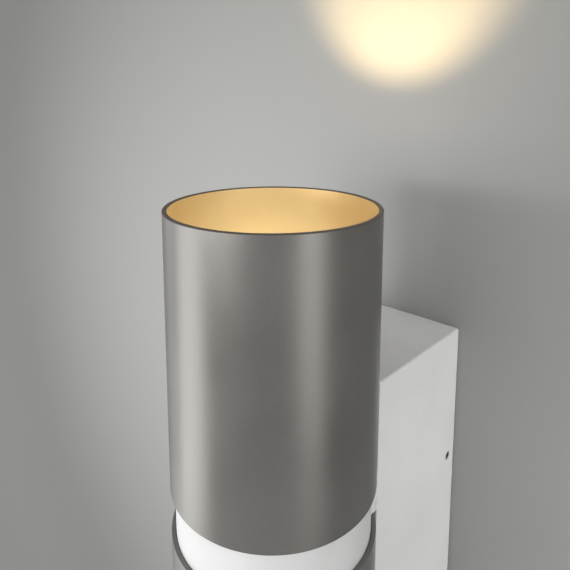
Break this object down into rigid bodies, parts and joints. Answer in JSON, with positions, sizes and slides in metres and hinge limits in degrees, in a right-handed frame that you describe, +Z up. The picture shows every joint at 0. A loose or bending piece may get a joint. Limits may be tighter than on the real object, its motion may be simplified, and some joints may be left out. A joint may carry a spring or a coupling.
{
  "type": "tube wall light",
  "caption": "Up-and-down wall light: a grey lamp tube above and below a white band, gold inside, held by a white box on the wall.",
  "frame": {"origin": "on the wall, centre of the wall plate's back face, at mid-height of the wall box", "axes": "+Y into the wall, +X to the right as seen from the room, +Z up along the lamp tubes"},
  "size_m": [0.06, 0.103, 0.174],
  "materials": {
    "tube_metal": "satin metallic grey lacquer outside, matt gold inside",
    "white_paint": "matt white powder coat on aluminium",
    "black_rubber": "matt",
    "clear_silicone": "milky silicone",
    "zinc_steel": "zinc plated",
    "zinc_plate": "galvanised sheet",
    "brass": "bare",
    "ceramic": "unglazed",
    "lamp_metal": "cast",
    "lens": "frosted",
    "led": "phosphor",
    "driver_plastic": "matt",
    "board_green": "lacquered circuit board",
    "transformer_core": "ferrite and yellow tape",
    "capacitor_sleeve": "shrink sleeve",
    "block_plastic": "natural polyamide",
    "sleeve_white": "glass-fibre sleeve",
    "lead_brown": "insulated lead",
    "lead_green": "green and yellow insulated lead"
  },
  "bodies": {
    "wall_side": {"wall_plate": "zinc_plate", "cable_grommet": "black_rubber", "plate_earth_screw": "zinc_steel"},
    "upper_tube": {"upper_tube": "tube_metal"},
    "lower_tube": {"lower_tube": "tube_metal"},
    "upper_lamp": {"upper_lamp_body": "lamp_metal", "upper_lamp_pins": "brass", "upper_lamp_led": "led", "upper_lamp_lens": "lens", "upper_lamp_ring": "clear_silicone"},
    "lower_lamp": {"lower_lamp_body": "lamp_metal", "lower_lamp_pins": "brass", "lower_lamp_led": "led", "lower_lamp_lens": "lens", "lower_lamp_ring": "clear_silicone"},
    "housing": {"box_earth_screw": "zinc_steel", "box_earth_tag": "brass", "core_body": "white_paint", "core_screws": "zinc_steel", "driver_board": "board_green", "driver_capacitors": "capacitor_sleeve", "driver_case": "driver_plastic", "driver_lid": "driver_plastic", "driver_screws": "zinc_steel", "driver_transformer": "transformer_core", "earth_lead": "lead_green", "lower_grip_ring": "black_rubber", "lower_holder_screws": "zinc_steel", "lower_lamp_lead": "sleeve_white", "lower_lampholder": "ceramic", "side_screws": "zinc_steel", "supply_leads": "lead_brown", "terminal_block": "block_plastic", "terminal_block_screws": "zinc_steel", "terminal_clamp_screws": "zinc_steel", "terminal_poles": "brass", "upper_grip_ring": "black_rubber", "upper_holder_screws": "zinc_steel", "upper_lamp_lead": "sleeve_white", "upper_lampholder": "ceramic", "wall_box": "white_paint"}
  },
  "joints": [
    {"name": "housing_off_plate", "type": "slide", "parent": "wall_side", "child": "housing", "axis": [0, -1, 0], "range_m": [0, 0.05]},
    {"name": "upper_tube_off", "type": "slide", "parent": "housing", "child": "upper_tube", "axis": [0, 0, 1], "range_m": [0, 0.03]},
    {"name": "lower_tube_off", "type": "slide", "parent": "housing", "child": "lower_tube", "axis": [0, 0, -1], "range_m": [0, 0.03]},
    {"name": "upper_lamp_out", "type": "slide", "parent": "housing", "child": "upper_lamp", "axis": [0, 0, 1], "range_m": [0, 0.03]},
    {"name": "lower_lamp_out", "type": "slide", "parent": "housing", "child": "lower_lamp", "axis": [0, 0, -1], "range_m": [0, 0.03]}
  ]
}
